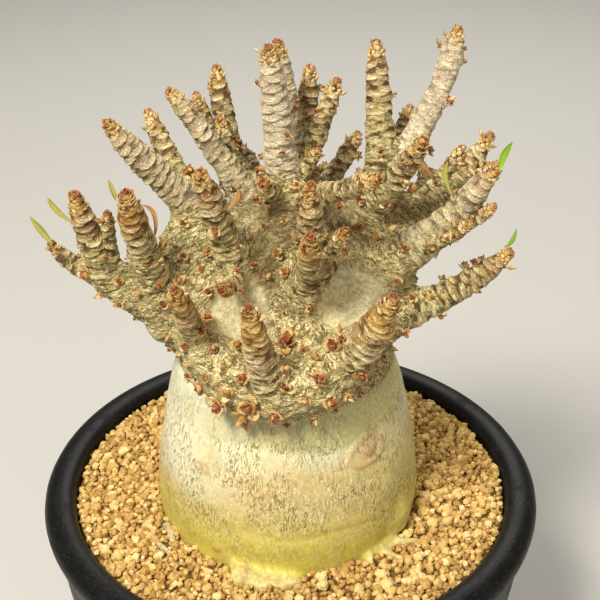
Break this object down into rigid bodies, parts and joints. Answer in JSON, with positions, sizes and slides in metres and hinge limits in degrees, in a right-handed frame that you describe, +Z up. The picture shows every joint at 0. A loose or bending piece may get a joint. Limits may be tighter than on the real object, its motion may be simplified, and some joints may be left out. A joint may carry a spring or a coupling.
{
  "type": "potted desert rose",
  "caption": "Desert rose with a swollen trunk and a dense crown of short knobbly stems, growing in granular soil in a round black pot.",
  "frame": {"origin": "centre of the pot's flat underside, level with the surface that it stands on", "axes": "+Z up, -Y toward the front of the plant, +X to the right seen from the front"},
  "size_m": [0.15, 0.15, 0.2188],
  "materials": {
    "black_pot": "matte, faintly speckled",
    "clay_granules": "rough, porous granules",
    "trunk_bark": "smooth living bark, cream to yellow green",
    "root_bark": "smooth pale root",
    "stem_bark": "knobbly leaf-scarred bark",
    "green_leaf": "smooth, satin",
    "yellow_leaf": "smooth, satin",
    "dry_leaf": "papery, dry"
  },
  "bodies": {
    "root": {"pot": "black_pot", "soil": "clay_granules", "trunk": "trunk_bark", "root_left_loop": "root_bark", "root_left_tail": "root_bark", "stem_left_outer": "stem_bark", "stem_left_forward": "stem_bark", "stem_left_sprig": "stem_bark", "stem_left_twin": "stem_bark", "stem_left_long": "stem_bark", "stem_left_green": "stem_bark", "stem_back_left_long": "stem_bark", "stem_back_left_tall": "stem_bark", "stem_back_left_dry": "stem_bark", "stem_back_left_thin": "stem_bark", "stem_centre_column": "stem_bark", "stem_centre_behind": "stem_bark", "stem_centre_back": "stem_bark", "stem_centre_lean": "stem_bark", "stem_centre_sprig": "stem_bark", "stem_centre_tall": "stem_bark", "stem_right_tallest": "stem_bark", "stem_right_red": "stem_bark", "stem_right_back": "stem_bark", "stem_right_pointer": "stem_bark", "stem_right_outer": "stem_bark", "stem_right_outer_back": "stem_bark", "stem_right_dry": "stem_bark", "stem_right_low": "stem_bark", "stem_right_low_sprig": "stem_bark", "stem_right_side_sprig": "stem_bark", "stem_front_main": "stem_bark", "stem_front_left": "stem_bark", "stem_front_high": "stem_bark", "stem_front_middle": "stem_bark", "stem_front_right": "stem_bark", "stem_front_left_high": "stem_bark", "stem_front_crotch": "stem_bark", "stem_front_knob": "stem_bark", "stem_front_sprig": "stem_bark", "stem_back_low_left": "stem_bark", "stem_back_low_middle": "stem_bark", "stem_back_low_right": "stem_bark", "stem_back_right_low": "stem_bark", "leaf_right_outer": "green_leaf", "leaf_right_low": "green_leaf", "leaf_left_forward": "green_leaf", "leaf_left_outer": "yellow_leaf", "leaf_left_twin": "yellow_leaf", "leaf_front_dry": "dry_leaf", "leaf_right_small": "yellow_leaf", "leaf_right_papery": "dry_leaf", "leaf_left_curl": "dry_leaf"}
  },
  "joints": []
}
